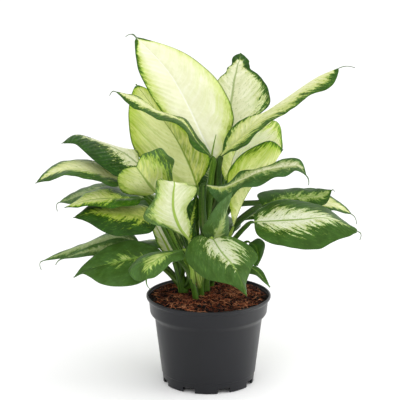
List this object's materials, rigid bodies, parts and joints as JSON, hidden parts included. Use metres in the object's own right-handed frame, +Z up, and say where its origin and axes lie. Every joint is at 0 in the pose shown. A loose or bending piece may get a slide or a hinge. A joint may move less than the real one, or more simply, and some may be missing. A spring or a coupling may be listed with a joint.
{
  "type": "potted dieffenbachia",
  "caption": "Bushy variegated dieffenbachia house plant with cream and green leaves in a dark grey plastic grow pot.",
  "frame": {"origin": "centre of the pot's underside, in the plane the pot stands on", "axes": "+Z up; -Y is the front that faces the viewer; +X to the viewer's right"},
  "size_m": [0.3112, 0.2045, 0.3325],
  "materials": {
    "pot_plastic": "satin",
    "coir": "rough",
    "green_stem": "satin",
    "leaf_cream": "satin",
    "leaf_lime": "satin",
    "leaf_green": "satin"
  },
  "bodies": {
    "root": {"pot": "pot_plastic", "soil": "coir", "shoot_main": "green_stem", "shoot_front": "green_stem", "shoot_inner": "green_stem", "shoot_left": "green_stem", "shoot_right": "green_stem", "leaf_top_front": "leaf_cream", "leaf_top_back": "leaf_cream", "leaf_long_right": "leaf_cream", "leaf_boat_right": "leaf_lime", "leaf_wavy_right": "leaf_green", "leaf_big_right": "leaf_green", "leaf_dark_right": "leaf_green", "leaf_far_right": "leaf_green", "leaf_heart_front": "leaf_green", "leaf_pale_front": "leaf_cream", "leaf_curl_left": "leaf_cream", "leaf_tall_left": "leaf_lime", "leaf_arch_left": "leaf_green", "leaf_left_1": "leaf_green", "leaf_left_2": "leaf_green", "leaf_left_3": "leaf_lime", "leaf_left_back_1": "leaf_green", "leaf_left_4": "leaf_green", "leaf_left_low_back": "leaf_green", "leaf_left_low_mid": "leaf_green", "leaf_left_low_front": "leaf_green", "leaf_curl_front": "leaf_green", "leaf_small_centre": "leaf_green", "leaf_low_right": "leaf_green", "leaf_low_right_back": "leaf_green", "leaf_left_inner": "leaf_cream", "leaf_inner_centre": "leaf_green", "leaf_rear_left_high": "leaf_green", "leaf_rear_right_high": "leaf_lime", "leaf_rear_centre": "leaf_green", "leaf_rear_left_low": "leaf_green", "leaf_rear_right_low": "leaf_green", "leaf_rear_right_mid": "leaf_green", "leaf_rear_left_mid": "leaf_lime", "leaf_rear_left_bottom": "leaf_green"}
  },
  "joints": []
}
